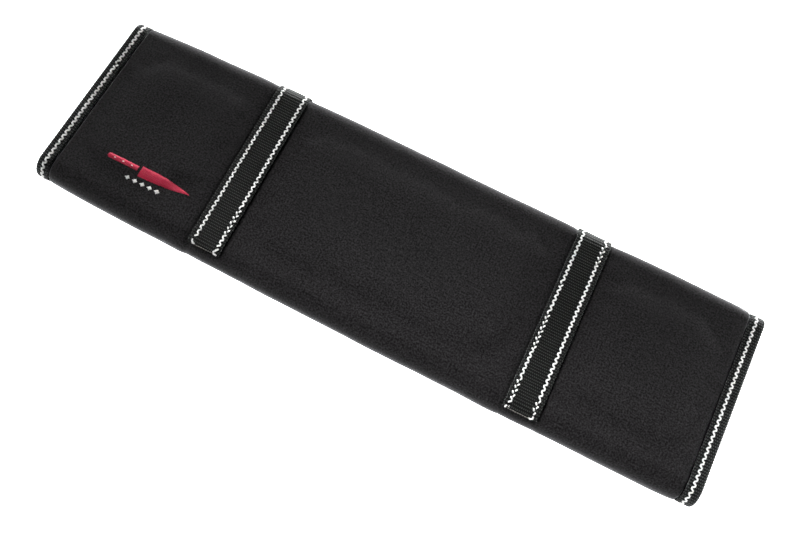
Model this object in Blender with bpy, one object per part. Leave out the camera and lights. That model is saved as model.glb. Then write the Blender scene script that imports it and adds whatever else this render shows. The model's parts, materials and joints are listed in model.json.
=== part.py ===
"""A closed chef's knife roll that lies flat.

One padded cloth sheet is wrapped round a flat hollow for the knives. Webbing is folded over each
short end of the sheet as a binding, and two webbing straps hold the roll shut. Metres, +Z up.
X runs along the roll, -Y is the front fold, and the underside rests on z = 0.
"""

import math
from collections import namedtuple

import bmesh
import bpy
import numpy as np

# Driving sizes of the roll
ROLL_LENGTH = 0.4810  # over both bindings, along the middle of the roll
ROLL_WIDTH = 0.1378  # front fold to rear fold, halfway along
ROLL_HEIGHT = 0.0220  # underside to the cloth's top face

# Driving sizes of the cloth sheet
CLOTH = 0.0030  # padded cloth
PRESSED_CLOTH = 0.0016  # the same cloth, pressed flat inside a binding
PUFF = 0.0030  # length over which pressed cloth swells out again
FLAP_SETBACK = 0.0010  # from the start of the rear fold to the free edge of the flap below it
INNER_INSET = 0.0180  # from the front fold to the sheet's inner edge
LAYER_GAP = 0.0005  # between the flap and the layer above it

# Driving sizes of the webbing
WEBBING = 0.0012  # thickness of a binding
BINDING_WIDTH = 0.0108  # on each face of the sheet
STRAP_WIDTH = 0.0250
STRAP_THICKNESS = 0.0016
STRAP_CORNER = 0.0004  # chamfer along a strap's edges
STRAP_DENT = 0.0004  # how far a strap presses into the cloth
STRAP_UNDERLAP = 0.0600  # length sewn to the underside of the flap

GAP = 0.0003  # clearance between pieces that touch
EDGE_ROUND = 0.0006  # how far the sheet's free edges bulge
STATION_STEP = 0.0450  # the longest stretch of cover between two sections
FRONT_STEPS = 12  # facets round the front fold
REAR_STEPS = 10  # facets round the rear fold
ROUNDING = 1e-9  # a direction with a smaller rise than this is level

# Width and slant of the two short ends
End = namedtuple("End", "name side width_share slant_degrees")
ENDS = (
    End(name="left", side=-1, width_share=0.956, slant_degrees=0.86),
    End(name="right", side=1, width_share=0.990, slant_degrees=0.56),
)

# Place along the roll as a share of its length, and distance from the front fold to the strap's
# end as a share of its height
Strap = namedtuple("Strap", "name place_share end_share slant_degrees")
STRAPS = (
    Strap(name="left", place_share=-0.2346, end_share=0.268, slant_degrees=-1.07),
    Strap(name="right", place_share=0.2415, end_share=0.195, slant_degrees=-0.76),
)

# Sizes that follow from the ones above
BOUND_THICKNESS = 2 * WEBBING + 2 * GAP + PRESSED_CLOTH
FLAP_RISE = STRAP_THICKNESS + GAP  # the flap lies this high where it crosses a strap
INNER_LAYER_Z = max(BOUND_THICKNESS, FLAP_RISE + CLOTH) + LAYER_GAP
FRONT_RADIUS = ROLL_HEIGHT / 2
REAR_RADIUS = (ROLL_HEIGHT - INNER_LAYER_Z) / 2

# One place on the outer face of the wrapped sheet, and the direction into the sheet there
Spot = namedtuple("Spot", "layer y z inward_y inward_z")

# One place on the face of a strap that lies against the cover, and the direction out of it
Edge = namedtuple("Edge", "y z outward_y outward_z")


def fade(distance, span):
    """1 up to a distance of zero, falling smoothly to 0 at the span."""
    share = min(max(distance / span, 0), 1)
    return 0.5 + 0.5 * math.cos(math.pi * share)


def strap_centre(strap):
    return strap.place_share * ROLL_LENGTH


def width_at(x):
    """Width of the roll at a place along it, on a parabola through both ends and the middle."""
    left, right = (ROLL_WIDTH * end.width_share for end in ENDS)
    u = 2 * x / ROLL_LENGTH
    return ROLL_WIDTH + (right - left) / 2 * u + ((right + left) / 2 - ROLL_WIDTH) * u * u


def slant_at(x):
    """Slope of the sections along Y: that of the nearest end or strap, and blended between them."""
    places, slopes = [], []
    for end in ENDS:
        outer = end.side * ROLL_LENGTH / 2
        places += [outer, outer - end.side * (BINDING_WIDTH + GAP)]
        slopes += [math.tan(math.radians(end.slant_degrees))] * 2
    for strap in STRAPS:
        half = STRAP_WIDTH / 2 + GAP
        places += [strap_centre(strap) - half, strap_centre(strap) + half]
        slopes += [math.tan(math.radians(strap.slant_degrees))] * 2
    order = np.argsort(places)
    return float(np.interp(x, np.array(places)[order], np.array(slopes)[order]))


def placed(x, y, z):
    """A point at y and z in the slanted section that crosses the middle of the roll at x."""
    return (x + y * slant_at(x), y, z)


def wrap(width):
    """The outer face of the sheet in one section, from the flap's free edge to the inner edge.

    It runs forward under the roll, up round the front fold, back along the top, down round the
    rear fold and forward again as the inner layer, which lies on the flap.
    """
    front_y = -width / 2 + FRONT_RADIUS
    rear_y = width / 2 - REAR_RADIUS
    rear_z = ROLL_HEIGHT - REAR_RADIUS
    flap_y = rear_y - FLAP_SETBACK
    strap_y = flap_y - STRAP_UNDERLAP
    spots = []
    for y in (flap_y, (flap_y + strap_y) / 2, strap_y - GAP, strap_y - GAP - PUFF, (strap_y + front_y) / 2):
        spots.append(Spot("flap", y, 0, 0, 1))
    for i in range(FRONT_STEPS + 1):
        angle = math.radians(270 - 180 * i / FRONT_STEPS)
        out_y, out_z = math.cos(angle), math.sin(angle)
        y, z = front_y + FRONT_RADIUS * out_y, FRONT_RADIUS * (1 + out_z)
        spots.append(Spot("front", y, z, -out_y, -out_z))
    for share in (0.2, 0.4, 0.6, 0.8):
        spots.append(Spot("top", front_y + share * (rear_y - front_y), ROLL_HEIGHT, 0, -1))
    for i in range(REAR_STEPS + 1):
        angle = math.radians(90 - 180 * i / REAR_STEPS)
        out_y, out_z = math.cos(angle), math.sin(angle)
        y, z = rear_y + REAR_RADIUS * out_y, rear_z + REAR_RADIUS * out_z
        spots.append(Spot("rear", y, z, -out_y, -out_z))
    inner_y = -width / 2 + INNER_INSET
    for share in (0.33, 0.67, 1):
        spots.append(Spot("inner", rear_y + share * (inner_y - rear_y), INNER_LAYER_Z, 0, 1))
    return spots


def binding_press(x):
    """1 where the cloth is pressed inside a binding, 0 where it has swollen out again."""
    from_end = ROLL_LENGTH / 2 - abs(x)
    return fade(from_end - BINDING_WIDTH - GAP, PUFF)


def strap_end_y(strap, width):
    return -width / 2 + strap.end_share * ROLL_HEIGHT


def strap_sink(x, spot, width):
    """How far a strap moves the sheet's outer face inwards at one place."""
    sink = 0
    for strap in STRAPS:
        across = fade(abs(x - strap_centre(strap)) - STRAP_WIDTH / 2 - GAP, PUFF)
        if spot.layer == "flap":
            sewn_y = width / 2 - REAR_RADIUS - FLAP_SETBACK - STRAP_UNDERLAP
            sink = max(sink, FLAP_RISE * across * fade(sewn_y - GAP - spot.y, PUFF))
        elif spot.layer == "rear" or spot.inward_z < -ROUNDING:
            ahead = strap_end_y(strap, width) - PUFF - spot.y
            sink = max(sink, STRAP_DENT * across * fade(ahead, PUFF))
    return sink


def strap_line(strap, x):
    """The strap's face against the cover, from its end on the top to its sewn end underneath."""
    width = width_at(x)
    upper = [s for s in wrap(width) if s.layer in ("front", "top", "rear") and s.inward_z < ROUNDING]
    end_y = strap_end_y(strap, width)
    after = next(i for i, s in enumerate(upper) if s.y > end_y + GAP)
    columns = np.array([s[1:] for s in upper[after - 1:after + 1]])
    start = [float(np.interp(end_y, columns[:, 0], column)) for column in columns.T]
    lift = GAP - STRAP_DENT
    line = []
    for y, z, inward_y, inward_z in [start] + [list(s[1:]) for s in upper[after:]]:
        size = math.hypot(inward_y, inward_z)
        out_y, out_z = -inward_y / size, -inward_z / size
        line.append(Edge(y + lift * out_y, z + lift * out_z, out_y, out_z))
    rear_y, rear_z = width / 2 - REAR_RADIUS, ROLL_HEIGHT - REAR_RADIUS
    reach, drop = REAR_RADIUS + lift, rear_z - STRAP_THICKNESS
    for i in range(1, REAR_STEPS // 2 + 2):
        angle = math.pi / 2 * i / (REAR_STEPS // 2 + 1)
        out_y, out_z = drop * math.cos(angle), -reach * math.sin(angle)
        size = math.hypot(out_y, out_z)
        y, z = rear_y + reach * math.cos(angle), rear_z - drop * math.sin(angle)
        line.append(Edge(y, z, out_y / size, out_z / size))
    for share in (0.5, 1):
        y = rear_y - share * (FLAP_SETBACK + STRAP_UNDERLAP)
        line.append(Edge(y, STRAP_THICKNESS, 0, -1))
    return line


def loft(name, rings, patches):
    """A solid grown from the first ring of points through all the others.

    The patches fill the first ring. They are extruded from ring to ring, and each point knows its
    number in the ring, so that it moves to its own place.
    """
    mesh = bpy.data.meshes.new(name)
    model = bmesh.new()
    number = model.verts.layers.int.new("number")
    points = [model.verts.new(point) for point in rings[0]]
    for i, point in enumerate(points):
        point[number] = i
    front = [model.faces.new([points[i] for i in patch]) for patch in patches]
    inside = []
    for ring in rings[1:]:
        grown = bmesh.ops.extrude_face_region(model, geom=front)["geom"]
        bmesh.ops.delete(model, geom=inside, context="FACES")
        for item in grown:
            if isinstance(item, bmesh.types.BMVert):
                item.co = ring[item[number]]
        inside = front = [item for item in grown if isinstance(item, bmesh.types.BMFace)]
    bmesh.ops.recalc_face_normals(model, faces=model.faces)
    model.to_mesh(mesh)
    model.free()
    mesh.shade_smooth()
    mesh.set_sharp_from_angle(angle=math.radians(40))
    piece = bpy.data.objects.new(name, mesh)
    bpy.context.scene.collection.objects.link(piece)
    return piece


def finish(piece, colour, roughness):
    """Gives a piece a plain material of its own."""
    material = bpy.data.materials.new(piece.name)
    material.use_nodes = True
    shader = material.node_tree.nodes["Principled BSDF"]
    shader.inputs["Base Color"].default_value = (*colour, 1)
    shader.inputs["Roughness"].default_value = roughness
    shader.inputs["Metallic"].default_value = 0
    piece.data.materials.append(material)


def cover_places():
    """Places along the roll where the cover has a section, close together where it swells out."""
    from_end = [WEBBING + GAP, BINDING_WIDTH / 2]
    from_end += [BINDING_WIDTH + GAP + share * PUFF for share in (0, 0.5, 1)]
    places = [end.side * (ROLL_LENGTH / 2 - d) for end in ENDS for d in from_end]
    from_strap = [STRAP_WIDTH / 2 + GAP + share * PUFF for share in (0, 0.5, 1)]
    for strap in STRAPS:
        middle = strap_centre(strap)
        places.append(middle)
        places += [middle + side * d for side in (-1, 1) for d in from_strap]
    places.sort()
    filled = [places[0]]
    for place in places[1:]:
        steps = math.ceil((place - filled[-1]) / STATION_STEP)
        filled += list(np.linspace(filled[-1], place, steps + 1)[1:])
    return filled


def cover_ring(x):
    """The sheet in one section: its outer face, its inner edge, its inner face, the flap's edge."""
    width = width_at(x)
    press = binding_press(x)
    cloth = CLOTH + press * (PRESSED_CLOTH - CLOTH)
    outer, inner = [], []
    for spot in wrap(width):
        depth = max(press * (WEBBING + GAP), strap_sink(x, spot, width))
        for face, inward in ((outer, depth), (inner, depth + cloth)):
            face.append((spot.y + inward * spot.inward_y, spot.z + inward * spot.inward_z))
    inner_edge = ((outer[-1][0] - EDGE_ROUND), (outer[-1][1] + inner[-1][1]) / 2)
    flap_edge = ((outer[0][0] + EDGE_ROUND), (outer[0][1] + inner[0][1]) / 2)
    return [placed(x, y, z) for y, z in outer + [inner_edge] + inner[::-1] + [flap_edge]]


def make_cover():
    rings = [cover_ring(x) for x in cover_places()]
    count = len(rings[0])
    last = count // 2 - 2
    patches = [(i, i + 1, count - 3 - i, count - 2 - i) for i in range(last)]
    patches += [(last, last + 1, last + 2), (0, count - 2, count - 1)]
    cover = loft("roll_cover", rings, patches)
    finish(cover, colour=(0.022, 0.022, 0.023), roughness=0.85)


def make_binding(end):
    """Webbing folded over one short end: a U across the edge, swept along the whole sheet."""
    fold = WEBBING / 2
    outline = [  # distance from the roll's end, and depth below the sheet's outer face
        (BINDING_WIDTH, 0),
        (fold, 0),
        (0, fold),
        (0, BOUND_THICKNESS - fold),
        (fold, BOUND_THICKNESS),
        (BINDING_WIDTH, BOUND_THICKNESS),
        (BINDING_WIDTH, BOUND_THICKNESS - WEBBING),
        (WEBBING, BOUND_THICKNESS - WEBBING),
        (WEBBING, WEBBING),
        (BINDING_WIDTH, WEBBING),
    ]
    columns = []
    for from_end, depth in outline:
        x = end.side * (ROLL_LENGTH / 2 - from_end)
        column = [(s.y + depth * s.inward_y, s.z + depth * s.inward_z) for s in wrap(width_at(x))]
        columns.append([placed(x, y, z) for y, z in column])
    patches = [(0, 1, 8, 9), (1, 2, 8), (2, 3, 7, 8), (3, 4, 7), (4, 5, 6, 7)]
    binding = loft(end.name + "_binding", list(zip(*columns)), patches)
    finish(binding, colour=(0.018, 0.018, 0.018), roughness=0.75)


def make_strap(strap):
    """Webbing from its end on the top, back round the rear fold, to its sewn end under the flap."""
    half, top, corner = STRAP_WIDTH / 2, STRAP_THICKNESS, STRAP_CORNER
    outline = [  # distance from the strap's middle, and height over its face against the cover
        (-half + corner, 0),
        (half - corner, 0),
        (half, corner),
        (half, top - corner),
        (half - corner, top),
        (-half + corner, top),
        (-half, top - corner),
        (-half, corner),
    ]
    columns = []
    for across, height in outline:
        x = strap_centre(strap) + across
        line = [(e.y + height * e.outward_y, e.z + height * e.outward_z) for e in strap_line(strap, x)]
        columns.append([placed(x, y, z) for y, z in line])
    piece = loft(strap.name + "_strap", list(zip(*columns)), [tuple(range(len(outline)))])
    finish(piece, colour=(0.020, 0.020, 0.020), roughness=0.70)


def centre_on_origin():
    """Moves all pieces together, so that the origin is under the middle of their common box."""
    pieces = list(bpy.context.scene.objects)
    points = np.array([v.co for piece in pieces for v in piece.data.vertices])
    low, high = points.min(axis=0), points.max(axis=0)
    for piece in pieces:
        piece.location = (-(low[0] + high[0]) / 2, -(low[1] + high[1]) / 2, -low[2])


def main():
    for old in list(bpy.data.objects):
        bpy.data.objects.remove(old)
    make_cover()
    for end in ENDS:
        make_binding(end)
    for strap in STRAPS:
        make_strap(strap)
    centre_on_origin()


main()
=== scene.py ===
"""Looks of a closed knife roll: wrapped padded cloth, bound ends, two webbing straps, stitching.

Metres, +Z up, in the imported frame: X runs along the roll, and -Y is its front fold.
"""

import functools
import json
import logging
import math
import random
from collections.abc import Callable, Sequence
from dataclasses import dataclass, replace
from enum import Enum

import bmesh
import bpy
import numpy as np
from mathutils import Matrix, Vector, noise
from mathutils.bvhtree import BVHTree

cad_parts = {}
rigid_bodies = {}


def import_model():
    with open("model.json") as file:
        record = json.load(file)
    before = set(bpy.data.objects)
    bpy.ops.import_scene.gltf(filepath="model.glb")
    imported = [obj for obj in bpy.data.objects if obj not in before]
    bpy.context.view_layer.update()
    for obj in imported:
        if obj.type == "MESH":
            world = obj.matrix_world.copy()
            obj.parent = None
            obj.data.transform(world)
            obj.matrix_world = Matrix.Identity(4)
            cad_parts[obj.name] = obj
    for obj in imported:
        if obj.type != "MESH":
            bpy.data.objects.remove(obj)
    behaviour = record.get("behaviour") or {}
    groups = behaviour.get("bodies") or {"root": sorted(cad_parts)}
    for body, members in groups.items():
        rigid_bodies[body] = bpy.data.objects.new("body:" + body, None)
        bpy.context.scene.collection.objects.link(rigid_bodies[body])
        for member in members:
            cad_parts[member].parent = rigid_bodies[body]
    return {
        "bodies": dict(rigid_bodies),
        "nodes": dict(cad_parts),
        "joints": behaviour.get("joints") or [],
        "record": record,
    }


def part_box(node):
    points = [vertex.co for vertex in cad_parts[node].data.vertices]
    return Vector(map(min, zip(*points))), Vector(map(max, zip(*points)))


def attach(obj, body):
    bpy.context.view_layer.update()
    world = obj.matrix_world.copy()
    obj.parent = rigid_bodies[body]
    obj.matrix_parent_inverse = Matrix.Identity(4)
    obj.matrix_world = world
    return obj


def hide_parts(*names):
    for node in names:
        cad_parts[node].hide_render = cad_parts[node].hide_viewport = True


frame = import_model()

log = logging.getLogger("knife_roll")

Array = np.ndarray
Model = bmesh.types.BMesh
Piece = bpy.types.Object
Socket = bpy.types.NodeSocket
Value = Socket | float
Colour = tuple[float, float, float]
Triple = tuple[float, float, float]
Guide = Callable[[float], Matrix]
Face = Callable[[float, float], Matrix]
Loop = tuple[int, tuple[tuple[float, float], ...]]

BODY = "root"
TURN = 2 * math.pi
PICK = 0.00195  # from one rib of the webbing to the next
YARN = 0.00065  # width of a lengthwise yarn of the webbing


def fade(distance: Array, span: float) -> Array:
    """1 up to a distance of zero, falling smoothly to 0 at the span."""
    return 0.5 + 0.5 * np.cos(np.pi * np.clip(distance / span, 0, 1))


class Zone(Enum):
    """The stretches of the wrapped sheet, in the order in which the cloth runs."""

    FLAP = 0
    FRONT = 1
    TOP = 2
    REAR = 3
    INNER = 4


@dataclass(frozen=True)
class EndPlan:
    """One short end of the roll, as it looks from above, and the binding on it."""

    name: str
    side: int
    width_share: float
    slope: float
    binding: float
    seam_inset: float
    thread: float
    swing: float


@dataclass(frozen=True)
class StrapPlan:
    """Where one strap crosses the roll, and how its seams end.

    A loop is the side of its seam and a row of places: the distance to the right of the seam and
    the distance from the strap's end. Loose is about the share of each seam whose stitches stand
    apart.
    """

    name: str
    width: float
    place_share: float
    end_share: float
    slope: float
    insets: tuple[float, float]
    seam_starts: tuple[float, float]
    loops: tuple[Loop, ...]
    loose: tuple[float, float]
    seed: int


@dataclass(frozen=True)
class Bow:
    """A stretch of the roll whose outline bulges a little, seen from above."""

    place: float
    reach: float
    front: float
    rear: float


@dataclass(frozen=True)
class Patch:
    """Places on a folded surface: their points, and the directions out of it and along it."""

    points: Array
    outward: Array
    along: Array


@dataclass(frozen=True)
class RollShape:
    """The wrapped sheet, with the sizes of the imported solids.

    A place along the wrap is a number from 0 to 5. Its whole part is the zone, and the rest is
    the share of that zone that lies before the place.
    """

    length: float = 0.4810
    width: float = 0.1378
    height: float = 0.0220
    cloth: float = 0.0030
    pressed_cloth: float = 0.0016
    puff: float = 0.0030
    crease: float = 0.0013
    flap_setback: float = 0.0010
    inner_inset: float = 0.0180
    layer_gap: float = 0.0005
    webbing: float = 0.0012
    strap_thickness: float = 0.0016
    strap_dent: float = 0.0004
    strap_underlap: float = 0.0600
    gap: float = 0.0003
    webbing_rest: float = 0.00025
    thread_rest: float = 0.00003
    front_samples: int = 40
    rear_samples: int = 30
    ends: tuple[EndPlan, EndPlan] = (
        EndPlan(
            name="left",
            side=-1,
            width_share=0.956,
            slope=math.tan(math.radians(0.86)),
            binding=0.0099,
            seam_inset=0.0057,
            thread=0.00138,
            swing=0.00094,
        ),
        EndPlan(
            name="right",
            side=1,
            width_share=0.990,
            slope=math.tan(math.radians(0.56)),
            binding=0.0107,
            seam_inset=0.0066,
            thread=0.00122,
            swing=0.00086,
        ),
    )
    straps: tuple[StrapPlan, StrapPlan] = (
        StrapPlan(
            name="left",
            width=0.0234,
            place_share=-0.2371,
            end_share=0.268,
            slope=math.tan(math.radians(-1.07)),
            insets=(0.0042, 0.0028),
            seam_starts=(0.0045, 0.0050),
            loops=(
                (-1, ((0.0013, 0.0003), (0.0003, 0.0008), (-0.0008, 0.0018), (-0.0013, 0.0030))),
                (
                    1,
                    (
                        (0.0012, 0.0047),
                        (0.0, 0.0034),
                        (-0.0012, 0.0017),
                        (-0.0004, 0.0005),
                        (0.0015, 0.0002),
                    ),
                ),
            ),
            loose=(0.15, 0.20),
            seed=258,
        ),
        StrapPlan(
            name="right",
            width=0.0237,
            place_share=0.2421,
            end_share=0.195,
            slope=math.tan(math.radians(-0.76)),
            insets=(0.0032, 0.0041),
            seam_starts=(0.0034, 0.0030),
            loops=(
                (-1, ((-0.0013, 0.0002), (-0.0012, 0.0009), (-0.0007, 0.0022))),
                (-1, ((0.0008, 0.0013), (0.0007, 0.0026))),
                (1, ((-0.0016, 0.0004), (-0.0003, 0.0005), (0.0009, 0.0012), (0.0008, 0.0028))),
            ),
            loose=(0.25, 0.10),
            seed=20,
        ),
    )
    bows: tuple[Bow, ...] = (
        Bow(place=-0.112, reach=0.016, front=0.0008, rear=0.0),
        Bow(place=0.112, reach=0.018, front=0.0011, rear=0.0),
        Bow(place=-0.113, reach=0.030, front=0.0, rear=0.0010),
        Bow(place=0.050, reach=0.035, front=0.0, rear=-0.0005),
    )

    @property
    def bound_thickness(self) -> float:
        """Thickness of a bound end: two layers of webbing with pressed cloth between them."""
        return 2 * self.webbing + 2 * self.gap + self.pressed_cloth

    @property
    def flap_rise(self) -> float:
        """Height of the flap where it crosses a strap."""
        return self.strap_thickness + self.gap

    @property
    def inner_layer_z(self) -> float:
        """Height of the lower face of the inner layer, which lies on the flap."""
        return max(self.bound_thickness, self.flap_rise + self.cloth) + self.layer_gap

    @property
    def front_radius(self) -> float:
        """Radius of the front fold's outer face."""
        return self.height / 2

    @property
    def rear_radius(self) -> float:
        """Radius of the rear fold's outer face."""
        return (self.height - self.inner_layer_z) / 2

    @functools.cached_property
    def origin(self) -> tuple[float, float]:
        """Where the middle of the roll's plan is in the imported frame."""
        left, right = (self.width * end.width_share / 2 for end in self.ends)
        fold = self.webbing / 2
        reach = (right - fold) * self.ends[1].slope - (left - fold) * self.ends[0].slope
        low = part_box(self.ends[0].name + "_binding")[0]
        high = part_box(self.ends[1].name + "_binding")[1]
        widest = self.width_at(np.linspace(-self.length / 2, self.length / 2, 97)).max()
        return (low[0] + high[0] - reach) / 2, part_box("roll_cover")[0][1] + widest / 2

    def strap_centre(self, strap: StrapPlan) -> float:
        """Where the middle of a strap crosses the middle of the roll."""
        return strap.place_share * self.length

    def cloth_edges(self, clearance: float) -> list[float]:
        """Where each stretch of open cloth starts and ends, a clearance off the webbing."""
        left, right = (end.side * (self.length / 2 - end.binding - clearance) for end in self.ends)
        edges = [left]
        for strap in self.straps:
            half = strap.width / 2 + clearance
            edges += [self.strap_centre(strap) - half, self.strap_centre(strap) + half]
        return [*edges, right]

    def width_at(self, x: Array) -> Array:
        """Width of the roll, on a parabola through both ends and the middle.

        Args:
            x: Places along the roll.

        Returns:
            The width at each place.
        """
        left, right = (self.width * end.width_share for end in self.ends)
        u = 2 * np.asarray(x) / self.length
        return self.width + (right - left) / 2 * u + ((right + left) / 2 - self.width) * u * u

    def sides(self, x: Array) -> tuple[Array, Array]:
        """Where the roll's front and rear outlines are, from above.

        Args:
            x: Places along the roll.

        Returns:
            The y of the front outline and of the rear outline.
        """
        x = np.asarray(x, float)
        half = self.width_at(x) / 2
        front, rear = -half, half
        for bow in self.bows:
            hump = np.exp(-0.5 * ((x - bow.place) / bow.reach) ** 2)
            front = front - bow.front * hump
            rear = rear + bow.rear * hump
        return front, rear

    def slope_at(self, x: Array) -> Array:
        """Slope of the sections, which turn from one end's or strap's slant to the next.

        Args:
            x: Places along the roll.

        Returns:
            The shift along the roll for each metre across it.
        """
        known = []
        for end in self.ends:
            outer = end.side * self.length / 2
            inner = outer - end.side * (end.binding + self.gap)
            known += [(outer, end.slope), (inner, end.slope)]
        for strap in self.straps:
            half = strap.width / 2 + self.gap
            middle = self.strap_centre(strap)
            known += [(middle - half, strap.slope), (middle + half, strap.slope)]
        places, slopes = zip(*sorted(known))
        return np.interp(x, places, slopes)

    def runs_at(self, x: float) -> Array:
        """Distance along the sheet's outer face from the flap's edge to the ends of the zones."""
        front, rear = self.sides(x)
        width = float(rear - front)
        straight = width - self.front_radius - self.rear_radius
        zones = [
            straight - self.flap_setback,
            math.pi * self.front_radius,
            straight,
            math.pi * self.rear_radius,
            width - self.rear_radius - self.inner_inset,
        ]
        return np.concatenate([[0], np.cumsum(zones)])

    def place_of(self, run: Array, x: float) -> Array:
        """Place along the wrap at a distance along the sheet's outer face."""
        return np.interp(run, self.runs_at(x), range(len(Zone) + 1))

    def located(self, x: Array, y: Array, z: Array) -> Array:
        """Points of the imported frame, from places in the slanted sections."""
        x, y, z = np.broadcast_arrays(x, y, z)
        shift_x, shift_y = self.origin
        return np.stack([x + y * self.slope_at(x) + shift_x, y + shift_y, z], axis=-1)

    def fold(self, x: Array, place: Array, depth: Array | float = 0.0) -> Patch:
        """Wraps the sheet round the knives.

        Args:
            x: Places along the roll.
            place: Places along the wrap.
            depth: Distances below the sheet's outer face.

        Returns:
            The places on the wrapped sheet.
        """
        x, place = np.broadcast_arrays(np.asarray(x, float), np.asarray(place, float))
        zone = np.clip(np.floor(place), 0, len(Zone) - 1)
        share = place - zone
        front, rear = self.sides(x)
        front_y = front + self.front_radius
        rear_y = rear - self.rear_radius
        rear_z = self.height - self.rear_radius
        flap_y = rear_y - self.flap_setback
        inner_y = front + self.inner_inset
        angle = np.where(zone == Zone.FRONT.value, 1.5, 0.5) * math.pi - math.pi * share
        cosine, sine = np.cos(angle), np.sin(angle)
        cases = [zone == each.value for each in Zone]
        flat = np.zeros_like(x)
        out_y = np.select(cases, [flat, cosine, flat, cosine, flat])
        out_z = np.select(cases, [flat - 1, sine, flat + 1, sine, flat - 1])
        y = np.select(
            cases,
            [
                flap_y + share * (front_y - flap_y),
                front_y + self.front_radius * cosine,
                front_y + share * (rear_y - front_y),
                rear_y + self.rear_radius * cosine,
                rear_y + share * (inner_y - rear_y),
            ],
        )
        z = np.select(
            cases,
            [
                flat,
                self.front_radius * (1 + sine),
                flat + self.height,
                rear_z + self.rear_radius * sine,
                flat + self.inner_layer_z,
            ],
        )
        points = self.located(x, y - depth * out_y, z - depth * out_z)
        outward = np.stack([flat, out_y, out_z], axis=-1)
        along = np.stack([out_z * self.slope_at(x), out_z, -out_y], axis=-1)
        return Patch(points, outward, along)

    def from_binding(self, x: Array) -> Array:
        """Distance of places along the roll from the inner edge of the nearer binding."""
        left, right = (end.binding for end in self.ends)
        return self.length / 2 - np.abs(x) - np.where(x < 0, left, right)

    def press(self, x: Array) -> Array:
        """1 where the cloth is pressed inside a binding, 0 where it has swollen out again."""
        return fade(self.from_binding(x) - self.gap, self.crease)

    def end_y(self, strap: StrapPlan, x: Array) -> Array:
        """Where a strap ends, near the front fold."""
        return self.sides(x)[0] + strap.end_share * self.height

    def sink(self, x: Array, place: Array) -> Array:
        """How far the bindings and straps press the sheet's outer face inwards.

        Args:
            x: Places along the roll.
            place: Places along the wrap.

        Returns:
            The depth at each place.
        """
        depth = self.press(x) * (self.webbing + self.gap)
        rear = self.sides(x)[1]
        spot = self.fold(x, place)
        y = spot.points[..., 1] - self.origin[1]
        on_flap = place < 1
        upper = (spot.outward[..., 2] > 0) | (np.floor(place) == Zone.REAR.value)
        sewn_y = rear - self.rear_radius - self.flap_setback - self.strap_underlap
        for strap in self.straps:
            beside = np.abs(x - self.strap_centre(strap)) - strap.width / 2 - self.gap
            lifted = self.flap_rise * fade(beside, self.puff)
            lifted = lifted * fade(sewn_y - self.gap - y, self.puff)
            ahead = self.end_y(strap, x) - self.crease - y
            dented = self.strap_dent * fade(beside, self.crease) * fade(ahead, self.crease)
            depth = np.maximum(depth, np.where(on_flap, lifted, 0))
            depth = np.maximum(depth, np.where(upper, dented, 0))
        return depth

    def strap_line(self, strap: StrapPlan, x: float) -> Array:
        """The strap's lower face in one section, from its end on the top to its sewn end below.

        Args:
            strap: The strap.
            x: The section's place along the roll.

        Returns:
            Rows of run, y, z, and the direction out of the strap's upper face, dense enough to
            be read between them.
        """
        front, rear = (float(side) for side in self.sides(x))
        lift = self.gap - self.strap_dent
        end_y = float(self.end_y(strap, x))
        front_y = front + self.front_radius
        rear_y, rear_z = rear - self.rear_radius, self.height - self.rear_radius
        start = math.pi - math.acos((end_y - front_y) / -self.front_radius)
        rows = []
        for angle in np.linspace(start, math.pi / 2, self.front_samples):
            out_y, out_z = math.cos(angle), math.sin(angle)
            radius = self.front_radius + lift
            rows.append((front_y + radius * out_y, self.front_radius + radius * out_z, out_y, out_z))
        rows += [(rear_y, self.height + lift, 0, 1)]
        for angle in np.linspace(math.pi / 2, 0, self.rear_samples)[1:]:
            out_y, out_z = math.cos(angle), math.sin(angle)
            radius = self.rear_radius + lift
            rows.append((rear_y + radius * out_y, rear_z + radius * out_z, out_y, out_z))
        reach, drop = self.rear_radius + lift, rear_z - self.strap_thickness
        for angle in np.linspace(0, math.pi / 2, self.rear_samples)[1:]:
            out = Vector((drop * math.cos(angle), -reach * math.sin(angle))).normalized()
            y, z = rear_y + reach * math.cos(angle), rear_z - drop * math.sin(angle)
            rows.append((y, z, out.x, out.y))
        rows.append((rear_y - self.flap_setback - self.strap_underlap, self.strap_thickness, 0, -1))
        line = np.array(rows)
        steps = np.hypot(np.diff(line[:, 0]), np.diff(line[:, 1]))
        return np.column_stack([np.concatenate([[0], np.cumsum(steps)]), line])


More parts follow.
